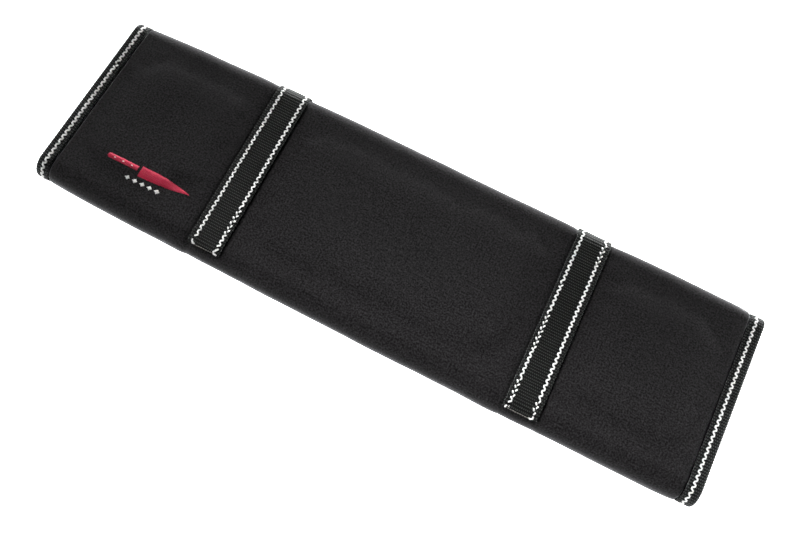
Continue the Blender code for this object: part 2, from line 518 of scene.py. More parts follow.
class Wiring:
    """Adds the nodes of one material and links them."""

    def __init__(self, name: str) -> None:
        """Starts a material with its shader and output.

        Args:
            name: The material's name.
        """
        self.material = bpy.data.materials.new(name)
        self.material.use_nodes = True
        self.tree = self.material.node_tree
        self.shader = self.tree.nodes["Principled BSDF"]

    def put(self, target: Socket, value: Value | Sequence[float]) -> None:
        """Links a socket, or sets it where the value is a number or a colour."""
        if isinstance(value, Socket):
            self.tree.links.new(value, target)
        else:
            target.default_value = value

    def node(self, kind: str, **settings: object) -> bpy.types.Node:
        """Adds a node.

        Args:
            kind: The node's type.
            settings: Its properties.

        Returns:
            The new node.
        """
        node = self.tree.nodes.new(kind)
        for key, value in settings.items():
            setattr(node, key, value)
        return node

    def math(self, operation: str, *values: Value) -> Socket:
        """The result of a Math node for numbers or sockets."""
        node = self.node("ShaderNodeMath", operation=operation)
        for socket, value in zip(node.inputs, values):
            self.put(socket, value)
        return node.outputs[0]

    def total(self, *parts: tuple[Value, float]) -> Socket:
        """The sum of values, each times its weight."""
        value, weight = parts[0]
        result = self.math("MULTIPLY", value, weight)
        for value, weight in parts[1:]:
            result = self.math("MULTIPLY_ADD", value, weight, result)
        return result

    def band(self, value: Value, low: float, high: float) -> Socket:
        """0 below low, 1 above high, and a smooth rise between them."""
        node = self.node("ShaderNodeMapRange", interpolation_type="SMOOTHSTEP")
        self.put(node.inputs["Value"], value)
        self.put(node.inputs["From Min"], low)
        self.put(node.inputs["From Max"], high)
        return node.outputs["Result"]

    def surface(self, uv_name: str) -> tuple[Socket, ...]:
        """The piece's own flat measure in metres: the vector, across and along."""
        vector = self.node("ShaderNodeUVMap", uv_map=uv_name).outputs["UV"]
        split = self.node("ShaderNodeSeparateXYZ")
        self.put(split.inputs[0], vector)
        return vector, split.outputs["X"], split.outputs["Y"]

    def wave(self, value: Value, pitch: float) -> Socket:
        """A cosine from -1 to 1 that repeats with the pitch."""
        return self.math("COSINE", self.math("MULTIPLY", value, TURN / pitch))

    def grain(self, vector: Socket, size: Triple, detail: float) -> Socket:
        """Seeded noise round 0.

        Args:
            vector: Where it is read.
            size: Size of a grain across, along and through, in metres.
            detail: Levels of finer noise in it.

        Returns:
            A value from about -0.5 to 0.5.
        """
        place = self.node("ShaderNodeMapping")
        self.put(place.inputs["Vector"], vector)
        self.put(place.inputs["Scale"], [1 / each for each in size])
        texture = self.node("ShaderNodeTexNoise", noise_dimensions="3D")
        self.put(texture.inputs["Vector"], place.outputs[0])
        self.put(texture.inputs["Scale"], 1.0)
        self.put(texture.inputs["Detail"], detail)
        return self.math("SUBTRACT", texture.outputs["Fac"], 0.5)

    def specks(self, vector: Socket, spacing: float, radius: float, share: float) -> Socket:
        """Scattered dots.

        Args:
            vector: Where they are read.
            spacing: Size of the cells that may hold one dot each, in metres.
            radius: Radius of a dot, in metres.
            share: Share of the cells that hold one.

        Returns:
            1 on a dot, 0 elsewhere.
        """
        cells = self.node("ShaderNodeTexVoronoi", feature="F1")
        self.put(cells.inputs["Vector"], vector)
        self.put(cells.inputs["Scale"], 1 / spacing)
        core, rim = 0.4 * radius / spacing, radius / spacing
        dot = self.math("SUBTRACT", 1.0, self.band(cells.outputs["Distance"], core, rim))
        chance = self.node("ShaderNodeSeparateColor")
        self.put(chance.inputs[0], cells.outputs["Color"])
        return self.math("MULTIPLY", dot, self.math("LESS_THAN", chance.outputs["Red"], share))

    def blend(self, factor: Value, first: Colour | Socket, second: Colour | Socket) -> Socket:
        """Mixes two colours by a factor from 0 to 1."""
        node = self.node("ShaderNodeMix", data_type="RGBA")
        self.put(node.inputs["Factor"], factor)
        for socket, colour in zip(node.inputs[6:8], (first, second)):
            self.put(socket, (*colour, 1) if isinstance(colour, tuple) else colour)
        return node.outputs[2]

    def dress(
        self, colour: Value, roughness: Value, height: Value, depth: float, strength: float
    ) -> None:
        """Gives the shader its colour, roughness and bump.

        Args:
            colour: The base colour.
            roughness: The roughness.
            height: The bump's height, from 0 to 1.
            depth: The bump's real depth in metres.
            strength: How much of the bump shows.
        """
        bump = self.node("ShaderNodeBump")
        self.put(bump.inputs["Height"], height)
        self.put(bump.inputs["Distance"], depth)
        self.put(bump.inputs["Strength"], strength)
        self.put(self.shader.inputs["Base Color"], colour)
        self.put(self.shader.inputs["Roughness"], roughness)
        self.put(self.shader.inputs["Normal"], bump.outputs[0])

    def sheen(self, weight: float, roughness: float, tint: Colour) -> None:
        """Gives the shader the soft rim light of fibres."""
        self.put(self.shader.inputs["Sheen Weight"], weight)
        self.put(self.shader.inputs["Sheen Roughness"], roughness)
        self.put(self.shader.inputs["Sheen Tint"], (*tint, 1))


@dataclass(frozen=True)
class ClothFinish:
    """Matt black padded cloth: a fine plain weave with uneven threads and a little lint."""

    name: str = "black padded cloth"
    uv_name: str = "cloth"
    dark: Colour = (0.0015, 0.0014, 0.0015)
    light: Colour = (0.0300, 0.0285, 0.0300)
    lint: Colour = (0.09, 0.09, 0.09)
    thread: float = 0.00062
    specular: float = 0.08

    def material(self) -> bpy.types.Material:
        """Builds the material."""
        work = Wiring(self.name)
        cloth, across, along = work.surface(self.uv_name)
        weave = work.math("MULTIPLY", work.wave(across, self.thread), work.wave(along, self.thread))
        uneven = work.grain(cloth, (0.0012, 0.0012, 1), 1)
        coarse = work.grain(cloth, (0.0032, 0.0032, 1), 1)
        warp = work.grain(cloth, (0.0009, 0.009, 1), 1)
        weft = work.grain(cloth, (0.009, 0.0009, 1), 1)
        broad = work.grain(cloth, (0.05, 0.04, 1), 3)
        shade = work.total(
            (weave, 0.10), (uneven, 1.90), (coarse, 0.12), (warp, 0.30), (weft, 0.35), (broad, 0.15)
        )
        tone = work.math("ADD", shade, 0.40)
        tone.node.use_clamp = True
        lint = work.specks(cloth, spacing=0.018, radius=0.00026, share=0.30)
        colour = work.blend(lint, work.blend(tone, self.dark, self.light), self.lint)
        roughness = work.math("MULTIPLY_ADD", uneven, 0.15, 0.86)
        height = work.total((weave, 0.30), (uneven, 0.8), (warp, 0.3), (weft, 0.3))
        work.dress(colour, roughness, height, depth=0.00025, strength=0.45)
        work.put(work.shader.inputs["Specular IOR Level"], self.specular)
        work.sheen(weight=0.95, roughness=0.28, tint=(0.95, 0.97, 1.0))
        return work.material


@dataclass(frozen=True)
class WebbingFinish:
    """Black woven tape: picks that rib it across, and yarns that rise over every other pick.

    Pale is a painted highlight: how much lighter the tape is painted towards the rear fold and past it,
    standing in for the rim light there. It is nothing up to one distance along the tape, highlight_from,
    and full past another, highlight_to.
    """

    name: str
    pick: float = PICK
    yarn: float = YARN
    dark: Colour = (0.0010, 0.0010, 0.0010)
    light: Colour = (0.052, 0.056, 0.052)
    uv_name: str = "webbing"
    specular: float = 0.12
    pale: float = 0.0
    highlight_from: float = 0.075
    highlight_to: float = 0.125

    def material(self) -> bpy.types.Material:
        """Builds the material."""
        work = Wiring(self.name)
        tape, across, along = work.surface(self.uv_name)
        rib = work.wave(along, self.pick)
        drift = work.grain(tape, (0.006, 0.012, 1), 1)
        column = work.math("MULTIPLY_ADD", drift, self.yarn, across)
        over, under = work.wave(column, 2 * self.yarn), work.wave(along, 2 * self.pick)
        crown = work.math("MULTIPLY", over, under)
        fibre = work.grain(tape, (0.0004, 0.0012, 1), 2)
        uneven = work.grain(tape, (0.0016, 0.0016, 1), 2)
        worn = work.grain(tape, (0.02, 0.04, 1), 2)
        # Painted highlight: lightens the tape towards the rear fold, in place of the rim light that
        # falls there.
        rear_fold_highlight = work.band(along, self.highlight_from, self.highlight_to)
        # In the colour, rib and crown are painted shade in the gaps between picks and a painted
        # highlight on the yarn crowns. Fibre, uneven and worn are the tape's own uneven tone.
        shade = work.total(
            (rib, 0.42),
            (crown, 0.45),
            (fibre, 0.5),
            (uneven, 0.5),
            (worn, 0.25),
            (rear_fold_highlight, self.pale),
        )
        tone = work.math("ADD", shade, 0.06)
        tone.node.use_clamp = True
        colour = work.blend(tone, self.dark, self.light)
        roughness = work.math("MULTIPLY_ADD", fibre, 0.25, 0.68)
        height = work.total((crown, 0.5), (fibre, 0.25), (uneven, 0.2))
        work.dress(colour, roughness, height, depth=0.00035, strength=0.7)
        work.put(work.shader.inputs["Specular IOR Level"], self.specular)
        work.sheen(weight=0.45, roughness=0.30, tint=(0.92, 1.0, 0.99))
        return work.material


@dataclass(frozen=True)
class ThreadFinish:
    """Plied sewing thread: fine lines that twist round it."""

    name: str
    colour: Colour
    shadow: Colour
    uv_name: str = "thread"
    plies: float = 3.0
    twists: float = 3.0
    roughness: float = 0.55
    specular: float = 0.3

    def material(self) -> bpy.types.Material:
        """Builds the material."""
        work = Wiring(self.name)
        thread, around, along = work.surface(self.uv_name)
        turned = work.math("MULTIPLY", around, self.plies)
        wound = work.math("MULTIPLY", along, self.twists)
        twist = work.math("ADD", turned, wound)
        ply = work.math("COSINE", work.math("MULTIPLY", twist, TURN))
        fuzz = work.grain(thread, (0.11, 0.05, 1), 2)
        tone = work.math("ADD", work.total((ply, 0.28), (fuzz, 0.6)), 0.62)
        tone.node.use_clamp = True
        colour = work.blend(tone, self.shadow, self.colour)
        height = work.total((ply, 0.5), (fuzz, 0.2))
        work.dress(colour, self.roughness, height, depth=0.00012, strength=0.6)
        work.put(work.shader.inputs["Specular IOR Level"], self.specular)
        work.sheen(weight=0.05, roughness=0.4, tint=(1.0, 1.0, 1.0))
        return work.material


@dataclass(frozen=True)
class FloorFinish:
    """Plain pale studio floor."""

    name: str = "pale floor"
    colour: Colour = (0.80, 0.80, 0.80)
    glow: float = 2.2

    def material(self) -> bpy.types.Material:
        """Builds the material, which glows a little, as a lit table does."""
        work = Wiring(self.name)
        place = work.node("ShaderNodeTexCoord").outputs["Object"]
        mottle = work.grain(place, (0.4, 0.4, 0.4), 2)
        tone = work.math("ADD", mottle, 0.5)
        pale = tuple(0.97 * each for each in self.colour)
        work.put(work.shader.inputs["Base Color"], work.blend(tone, pale, self.colour))
        work.put(work.shader.inputs["Roughness"], 0.8)
        work.put(work.shader.inputs["Specular IOR Level"], 0.1)
        work.put(work.shader.inputs["Emission Color"], (1, 1, 1, 1))
        work.put(work.shader.inputs["Emission Strength"], self.glow)
        return work.material


class Material(Enum):
    """The finishes of the roll's pieces."""

    CLOTH = ClothFinish()
    BINDING = WebbingFinish("black binding webbing", light=(0.074, 0.080, 0.077))
    # The strap's pale share paints a highlight on the tape towards the rear fold, standing in for rim
    # light.
    STRAP = WebbingFinish("black strap webbing", pale=0.20)
    WHITE_THREAD = ThreadFinish("white thread", (0.95, 0.95, 0.94), (0.76, 0.76, 0.75))
    GREY_THREAD = ThreadFinish("grey thread", (0.21, 0.20, 0.18), (0.10, 0.10, 0.09))
    RED_THREAD = ThreadFinish("red thread", (0.62, 0.015, 0.070), (0.34, 0.006, 0.030))

    def made(self) -> bpy.types.Material:
        """The Blender material, built at its first use."""
        return bpy.data.materials.get(self.value.name) or self.value.material()


def into_scene(name: str, data: bpy.types.ID) -> Piece:
    """Makes an object of the scene from a mesh, a camera or a light."""
    thing = bpy.data.objects.new(name, data)
    bpy.context.scene.collection.objects.link(thing)
    return thing


def make_piece(name: str, model: Model, material: Material) -> Piece:
    """Turns a finished shape into an object of the scene.

    Args:
        name: The piece's name.
        model: Its shape, which is used up.
        material: Its finish.

    Returns:
        The object, which rides on the roll.
    """
    mesh = bpy.data.meshes.new(name)
    model.to_mesh(mesh)
    model.free()
    mesh.shade_smooth()
    mesh.set_sharp_from_angle(angle=math.radians(60))
    mesh.materials.append(material.made())
    piece = into_scene(name, mesh)
    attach(piece, BODY)
    return piece


def woven_grid(columns: int, rows: int) -> tuple[Model, Array, Array]:
    """A flat grid of cloth.

    Args:
        columns: Number of its vertices across.
        rows: Number of its vertices along.

    Returns:
        The grid, and the column and the row of each vertex.
    """
    model = bmesh.new()
    bmesh.ops.create_grid(model, x_segments=columns - 1, y_segments=rows - 1, size=0.5)
    flat = np.array([vertex.co[:2] for vertex in model.verts])
    low, high = flat.min(axis=0), flat.max(axis=0)
    shares = (flat - low) / (high - low)
    column, row = np.rint(shares * (columns - 1, rows - 1)).astype(int).T
    return model, column, row


def measure(model: Model, uv_name: str, across: Array, along: Array) -> None:
    """Writes the flat measure of each vertex into a UV map.

    Args:
        model: The surface.
        uv_name: Name of the map.
        across: Distance across the cloth of each vertex.
        along: Distance along the cloth of each vertex.
    """
    layer = model.loops.layers.uv.new(uv_name)
    model.verts.index_update()
    for face in model.faces:
        for loop in face.loops:
            index = loop.vert.index
            loop[layer].uv = (across[index], along[index])


def thicken(model: Model, inward: Array) -> None:
    """Closes a surface with a second face.

    Args:
        model: The surface.
        inward: The step from each vertex to its copy on the second face.
    """
    number = model.verts.layers.int.new("number")
    for index, vertex in enumerate(model.verts):
        vertex[number] = index
    grown = bmesh.ops.extrude_face_region(model, geom=model.faces[:])["geom"]
    for item in grown:
        if isinstance(item, bmesh.types.BMVert):
            item.co += Vector(inward[item[number]])
    bmesh.ops.recalc_face_normals(model, faces=model.faces[:])


def rested(points: Array, height: float) -> Array:
    """Points with those that would lie lower than a height over the table pressed up to it."""
    return np.column_stack([points[:, :2], np.maximum(points[:, 2], height)])


def ripple(x: Array, y: Array | float, size: float, seed: float) -> Array:
    """Smooth seeded noise, from about -1 to 1, at places in metres."""
    places = zip(x, np.broadcast_to(y, np.shape(x)))
    return np.array([noise.noise(Vector((a / size, b / size, seed))) for a, b in places])


@dataclass(frozen=True)
class CoverSheet:
    """The padded cloth, wrapped round the knives and pressed by the bindings and the straps.

    The swollen and the free part are each a range of places along the wrap, with a fade before it
    and after it. The pucker ripple and the dents are pairs of a size and a seed.
    """

    shape: RollShape
    crown: float = 0.0005
    crown_power: int = 6
    shoulder: float = 0.0006
    shoulder_reach: float = 0.0024
    slow_rise: float = 0.045
    pucker: float = 0.00025
    pucker_ripple: tuple[float, float] = (0.009, 1.3)
    pucker_scale: tuple[float, float] = (0.25, 0.10)
    pucker_near: float = 0.004
    pucker_fade: float = 0.016
    dent: float = 0.0005
    broad_dents: tuple[float, float] = (0.045, 3.1)
    small_dents: tuple[float, float] = (0.018, 7.7)
    dent_shares: tuple[float, float] = (0.7, 0.3)
    zone_length: float = 0.05
    swollen: tuple[float, float] = (1.45, 3.3)
    swollen_fade: float = 0.5
    free_part: tuple[float, float] = (2.25, 2.75)
    free_fade: float = 0.25
    free_margin: float = 0.001
    free_rise: float = 0.025
    samples: int = 8000
    fine_step: float = 0.0007
    coarse_step: float = 0.0032
    fine_reach: float = 0.002
    step_growth: float = 0.22
    rows: tuple[int, ...] = (26, 16, 52, 14, 22)
    sim_scale: float = 10.0
    sim_steps: int = 14
    growth: float = 0.006
    pressure: float = 0.3
    most_move: float = 0.0006

    def stations(self) -> Array:
        """Places along the roll of the sheet's columns, close together beside the webbing."""
        shape = self.shape
        reach = shape.length / 2 - shape.webbing - shape.gap
        edges = shape.cloth_edges(shape.gap)
        x = np.linspace(-reach, reach, self.samples)
        away = np.abs(x[:, None] - np.array(edges)).min(axis=1)
        step = self.fine_step + self.step_growth * np.maximum(away - self.fine_reach, 0)
        step = np.clip(step, self.fine_step, self.coarse_step)
        count = np.concatenate([[0], np.cumsum(np.diff(x) / step[1:])])
        return np.interp(np.linspace(0, count[-1], math.ceil(count[-1]) + 1), count, x)

    def places(self) -> Array:
        """Places along the wrap of the sheet's rows."""
        ranges = [zone + np.arange(steps) / steps for zone, steps in enumerate(self.rows)]
        return np.concatenate([*ranges, [len(Zone) - 1e-9]])

    def swell(self, x: Array, place: Array) -> Array:
        """How far the padding pushes the cloth out between the bindings and the straps.

        Args:
            x: Places along the roll.
            place: Places along the wrap.

        Returns:
            The height over the plain wrap.
        """
        edges = self.shape.cloth_edges(0)
        lobe, shoulder = np.zeros_like(x), np.zeros_like(x)
        for low, high in zip(edges[::2], edges[1::2]):
            share = np.clip((x - low) / (high - low), 0, 1)
            lobe = np.maximum(lobe, 1 - np.abs(2 * share - 1) ** self.crown_power)
            drop = 1 - np.exp(-np.maximum(high - x, 0) / self.shoulder_reach)
            shoulder = np.maximum(shoulder, drop * (1 - fade(x - low, self.slow_rise)))
        start, end = self.swollen
        upper = fade(start - place, self.swollen_fade) * fade(place - end, self.swollen_fade)
        run = place * self.zone_length
        broad, small = self.dent_shares
        dents = ripple(x, run, *self.broad_dents) * broad + ripple(x, run, *self.small_dents) * small
        away = np.abs(x[:, None] - np.array(edges)).min(axis=1)
        x_scale, place_scale = self.pucker_scale
        folds = ripple(x * x_scale, place * place_scale, *self.pucker_ripple)
        near = self.pucker_near
        folds *= fade(away - near, self.pucker_fade) * (1 - fade(away, near))
        return upper * (
            self.crown * lobe + self.shoulder * shoulder + self.dent * dents * lobe + self.pucker * folds
        )

    def free(self, x: Array, place: Array) -> Array:
        """How far the padding may move by itself: 0 under webbing and inside the roll, up to 1."""
        shape = self.shape
        room = shape.from_binding(x)
        for strap in shape.straps:
            room = np.minimum(room, np.abs(x - shape.strap_centre(strap)) - strap.width / 2)
        start, end = self.free_part
        upper = fade(start - place, self.free_fade) * fade(place - end, self.free_fade)
        return upper * (1 - fade(room - self.free_margin, self.free_rise))

    def settle(self, model: Model, free: Array) -> None:
        """Lets the padding push the cloth into its own soft folds.

        Args:
            model: The cloth's outer face, which is moved.
            free: How far each vertex may move, from 0 to 1.
        """
        mesh = bpy.data.meshes.new("settling")
        model.to_mesh(mesh)
        before = np.array([vertex.co for vertex in mesh.vertices])
        mesh.transform(Matrix.Scale(self.sim_scale, 4))
        piece = into_scene("settling", mesh)
        held = piece.vertex_groups.new(name="held")
        for index, share in enumerate(free):
            held.add([index], 1 - float(share) ** 0.5, "REPLACE")
        cloth = piece.modifiers.new("cloth", "CLOTH")
        settings = cloth.settings
        settings.quality = 4
        settings.mass = 0.4
        settings.tension_stiffness = settings.compression_stiffness = 30
        settings.shear_stiffness = 15
        settings.bending_stiffness = 4
        settings.vertex_group_mass = held.name
        settings.pin_stiffness = 2
        settings.shrink_min = -self.growth
        settings.use_pressure = True
        settings.uniform_pressure_force = self.pressure
        settings.effector_weights.gravity = 0
        cloth.collision_settings.use_collision = False
        scene = bpy.context.scene
        for step in range(1, self.sim_steps + 1):
            scene.frame_set(step)
        settled = piece.evaluated_get(bpy.context.evaluated_depsgraph_get()).to_mesh()
        after = np.array([vertex.co for vertex in settled.vertices]) / self.sim_scale
        scene.frame_set(1)
        move = after - before
        far = np.linalg.norm(move, axis=1, keepdims=True)
        move *= np.minimum(1, self.most_move / np.maximum(far, 1e-9)) * free[:, None]
        log.info("padding pushed by %.2f mm at most before the cap", 1000 * far.max())
        for vertex, step in zip(model.verts, move):
            vertex.co += Vector(step)
        bpy.data.objects.remove(piece)
        bpy.data.meshes.remove(mesh)

    def build(self) -> Piece:
        """Folds the sheet, lets its padding settle and gives it its thickness."""
        shape = self.shape
        stations, places = self.stations(), self.places()
        model, column, row = woven_grid(len(stations), len(places))
        x, place = stations[column], places[row]
        depth = shape.sink(x, place) - self.swell(x, place)
        press = shape.press(x)
        thickness = shape.cloth + press * (shape.pressed_cloth - shape.cloth)
        outer = shape.fold(x, place, depth)
        for vertex, point in zip(model.verts, outer.points):
            vertex.co = point
        self.settle(model, self.free(x, place))
        runs = np.interp(place, range(len(Zone) + 1), shape.runs_at(0))
        measure(model, ClothFinish.uv_name, x, runs)
        thicken(model, -outer.outward * thickness[:, None])
        return make_piece("padded_cover", model, Material.CLOTH)


@dataclass(frozen=True)
class Tape:
    """Ribs that the picks raise on a woven tape."""

    pick: float = PICK
    rib: float = 0.00017
    rows_per_pick: int = 4

    def rows(self, length: float) -> Array:
        """Places along a tape of a length, a few for each rib."""
        return np.linspace(0, length, round(length / self.pick * self.rows_per_pick) + 1)

    def height(self, run: Array) -> Array:
        """Height of the ribs at places along the tape."""
        return self.rib * np.cos(TURN * run / self.pick)


def thread_tube(spots: Sequence[Vector], width: float, height: float, sides: int) -> Model:
    """A closed tube of thread along a line over flat cloth.

    Args:
        spots: Its centre line: across is X, along is Y and out of the cloth is Z.
        width: Width of the thread on the cloth.
        height: Height of the thread over it.
        sides: Number of faces round it.

    Returns:
        The tube, with its measure round and along the thread in its UV map.
    """
    model = bmesh.new()
    frames = []
    for i, spot in enumerate(spots):
        heading = (spots[min(i + 1, len(spots) - 1)] - spots[max(i - 1, 0)]).normalized()
        sideways = heading.cross(Vector((0, 0, 1))).normalized()
        girth = 0.72 if i in (0, len(spots) - 1) else 1.0
        size = Matrix.Diagonal((girth * width / 2, girth * height / 2, 1, 1))
        turned = Matrix((sideways, sideways.cross(heading), heading)).transposed().to_4x4()
        frames.append(Matrix.Translation(spot) @ turned @ size)
    ring = bmesh.ops.create_circle(model, segments=sides, radius=1, matrix=frames[0])["verts"]
    edges = list({edge for vertex in ring for edge in vertex.link_edges})
    for last, following in zip(frames, frames[1:]):
        grown = bmesh.ops.extrude_edge_only(model, edges=edges)["geom"]
        ring = [item for item in grown if isinstance(item, bmesh.types.BMVert)]
        edges = [item for item in grown if isinstance(item, bmesh.types.BMEdge)]
        bmesh.ops.transform(model, matrix=following @ last.inverted(), verts=ring)
    bmesh.ops.holes_fill(model, edges=model.edges[:], sides=sides)
    bmesh.ops.recalc_face_normals(model, faces=model.faces[:])
    layer = model.loops.layers.uv.new(ThreadFinish.uv_name)
    for face in model.faces:
        for loop in face.loops:
            spot = loop.vert.co
            loop[layer].uv = (spot.x / width + 2 * spot.z / height, spot.y / width)
    return model


def as_template(model: Model) -> bpy.types.Mesh:
    """Keeps a small shape as a mesh that can be sewn in many times."""
    mesh = bpy.data.meshes.new("thread")
    model.to_mesh(mesh)
    model.free()
    return mesh


@dataclass(frozen=True)
class Stitch:
    """One stitch of thick thread, which comes out of one hole and goes down into the next."""

    step: float
    swing: float
    width: float = 0.00121
    height: float = 0.00064
    sunk: float = 0.00020
    fullness: float = 0.6
    bar_middle: float = 0.95
    bar_half: float = 0.45
    bar_length: float = 0.92
    patch: float = 0.02
    sides: int = 6
    rings: int = 6

    def template(self, mirrored: bool, apart: bool) -> bpy.types.Mesh:
        """A tube from one hole to the next.

        Args:
            mirrored: Whether it runs to the other side.
            apart: Whether its crossing is pulled into the cloth, so that a short bar is left.

        Returns:
            The stitch, centred on the origin: across is X, along is Y and out of the cloth is Z.
        """
        side = -1 if mirrored else 1
        spots = []
        for share in np.linspace(0, 1, self.rings):
            turn = math.pi * share
            up = -self.sunk + (self.height / 2 + self.sunk) * math.sin(turn) ** self.fullness
            bar = self.bar_middle - self.bar_half * math.cos(turn)
            across = bar if apart else -math.cos(turn)
            reach = self.bar_length if apart else 1.0
            spots.append(Vector((side * self.swing * across, reach * self.step * (share - 0.5), up)))
        return as_template(thread_tube(spots, self.width, self.height, self.sides))


class Seam:
    """Collects stitches that are sewn in one thread, and makes them one piece."""

    def __init__(self, name: str, thread: Material, seed: int) -> None:
        """Starts an empty seam.

        Args:
            name: Name of its piece.
            thread: Its thread.
            seed: Start of its small irregularities.
        """
        self.name = name
        self.thread = thread
        self.chance = random.Random(seed)
        self.model = bmesh.new()
        self.model.loops.layers.uv.new(ThreadFinish.uv_name)

    def add(self, stitch: bpy.types.Mesh, frame: Matrix) -> None:
        """Sews one stitch at a place of the cloth."""
        before = len(self.model.verts)
        self.model.from_mesh(stitch)
        self.model.verts.ensure_lookup_table()
        bmesh.ops.transform(self.model, matrix=frame, verts=self.model.verts[before:])

    def zigzag(
        self, stitch: Stitch, guide: Guide, start: float, end: float, loose: float = 0.0
    ) -> None:
        """Sews a zigzag line.

        Args:
            stitch: The stitch that it repeats.
            guide: The frame of the cloth at each place along the line.
            start: Where the line starts.
            end: Where it ends.
            loose: About the share of the line where the stitches stand apart, read off a noise.
        """
        templates = [[stitch.template(bool(side), bool(apart)) for side in (0, 1)] for apart in (0, 1)]
        count = round((end - start) / stitch.step)
        step = (end - start) / count
        seed = self.chance.uniform(0, 50)
        for i in range(count):
            run = start + (i + 0.5) * step
            turn = Matrix.Rotation(math.radians(self.chance.uniform(-5, 5)), 4, "Z")
            girth = self.chance.uniform(0.90, 1.10)
            size = Matrix.Diagonal((girth, step / stitch.step, self.chance.uniform(0.9, 1.1), 1))
            apart = 0.5 + noise.noise(Vector((run / stitch.patch, seed, 0.5))) < loose
            self.add(templates[int(apart)][i % 2], guide(run) @ turn @ size)
        for template in sum(templates, []):
            bpy.data.meshes.remove(template)

    def strand(
        self, frame: Matrix, spots: Sequence[Triple], width: float, height: float
    ) -> None:
        """Sews one free strand.

        Args:
            frame: The frame of the cloth below it.
            spots: Its centre line in that frame, in metres.
            width: Width of the thread.
            height: Height of the thread.
        """
        template = as_template(thread_tube([Vector(spot) for spot in spots], width, height, 7))
        self.add(template, frame)
        bpy.data.meshes.remove(template)

    def satin(self, guide: Face, lines: Sequence[Triple], width: float) -> None:
        """Fills a shape with short threads side by side.

        Args:
            guide: The frame of the cloth at a place of the shape, from its own x and y.
            lines: The x, the lowest y and the highest y of each thread.
            width: Width of a thread.
        """
        length, tall = 0.006, 0.62 * width
        arch = [(-0.5, -0.4), (-0.42, 0.22), (-0.15, 0.5), (0.15, 0.5), (0.42, 0.22), (0.5, -0.4)]
        spots = [Vector((0, along * length, up * tall)) for along, up in arch]
        template = as_template(thread_tube(spots, width, 0.85 * width, 5))
        for x, low, high in lines:
            ragged = self.chance.uniform(-0.25, 0.25) * width
            stretch = max(high - low, 1.2 * width) / length
            self.add(template, guide(x, (low + high) / 2 + ragged) @ Matrix.Diagonal((1, stretch, 1, 1)))
        bpy.data.meshes.remove(template)

    def finish(self, rest: float) -> Piece:
        """Makes the seam a piece of the scene.

        Args:
            rest: Height over the table of thread that lies on it.

        Returns:
            The piece.
        """
        for vertex in self.model.verts:
            vertex.co.z = max(vertex.co.z, rest)
        return make_piece(self.name, self.model, self.thread)


def cloth_frame(point: Array, outward: Array, along: Array) -> Matrix:
    """The frame of a place on cloth: across is X, along is Y and outward is Z."""
    out, heading = Vector(outward).normalized(), Vector(along).normalized()
    across = heading.cross(out).normalized()
    heading = out.cross(across)
    turned = Matrix((across, heading, out)).transposed().to_4x4()
    return Matrix.Translation(Vector(point)) @ turned


